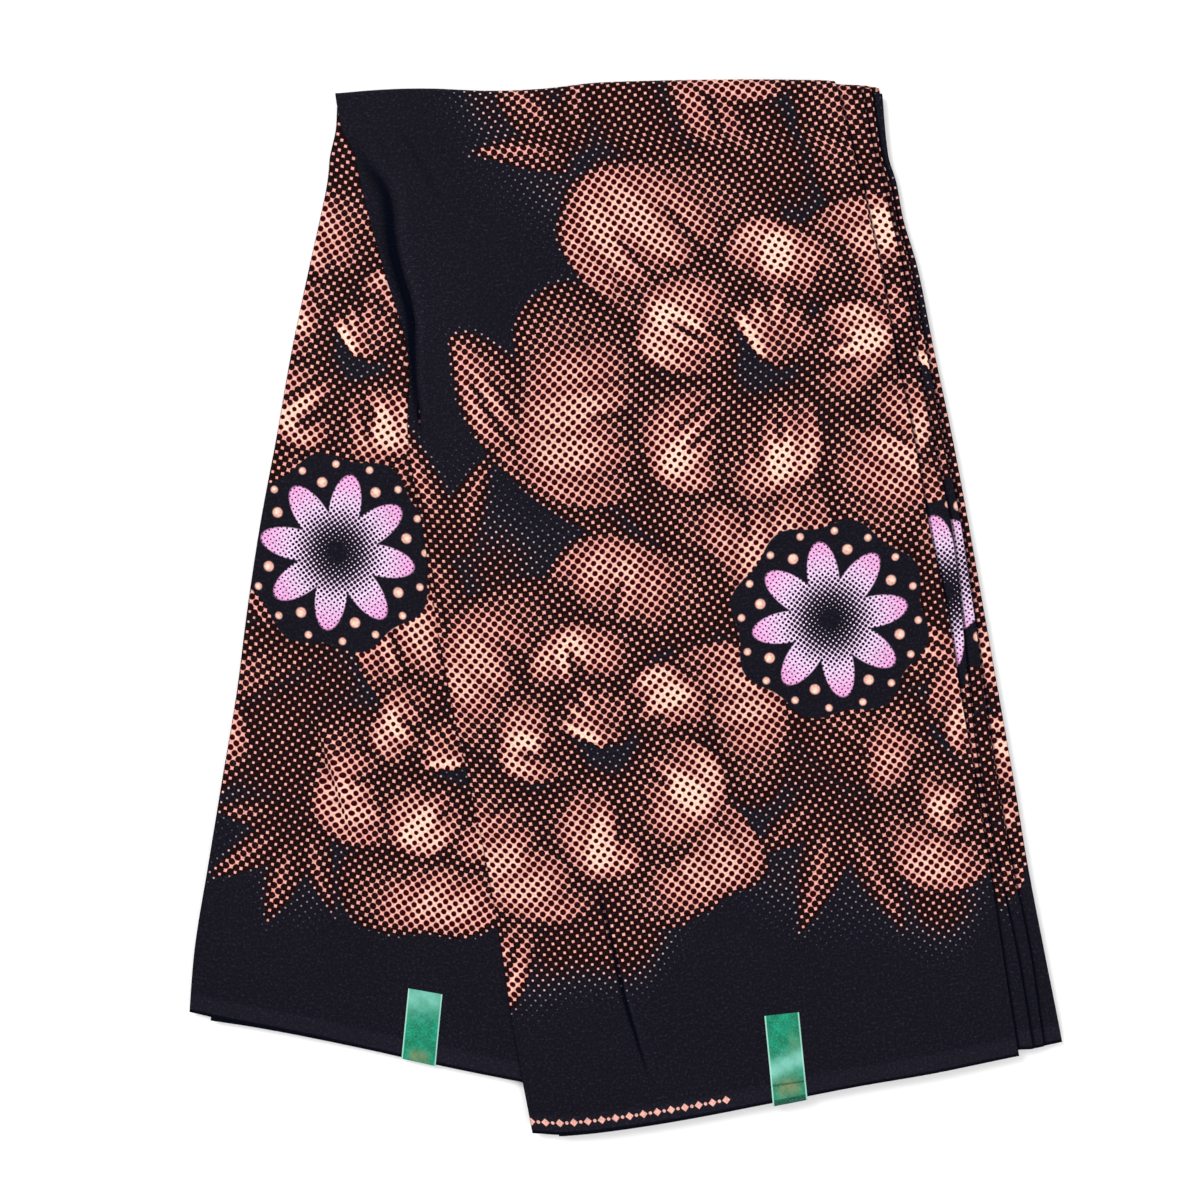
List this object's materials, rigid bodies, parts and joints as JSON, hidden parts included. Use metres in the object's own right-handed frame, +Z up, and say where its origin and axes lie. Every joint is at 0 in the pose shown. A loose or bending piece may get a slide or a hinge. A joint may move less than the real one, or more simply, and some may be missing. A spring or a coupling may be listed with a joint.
{
  "type": "folded wax print fabric",
  "caption": "Length of printed cotton, doubled and pleated into a flat fanned pile, with woven labels folded over the selvedge; lies on a table or shelf.",
  "frame": {"origin": "centre of the pile's outline, on the surface that it lies on", "axes": "+Z up, +Y towards the doubled top fold, +X towards the fanned right-hand folds"},
  "size_m": [0.512, 0.6196, 0.0131],
  "materials": {
    "printed_cloth": "waxed cotton with a soft satin sheen, navy-black ground with peach and mauve halftone print",
    "label": "green satin label, plain"
  },
  "bodies": {
    "root": {"front_panel": "printed_cloth", "left_panel": "printed_cloth", "right_layer_1": "printed_cloth", "right_layer_2": "printed_cloth", "right_layer_3": "printed_cloth", "hidden_layers": "printed_cloth", "back_panel": "printed_cloth", "label_left": "label", "label_right": "label"}
  },
  "joints": []
}
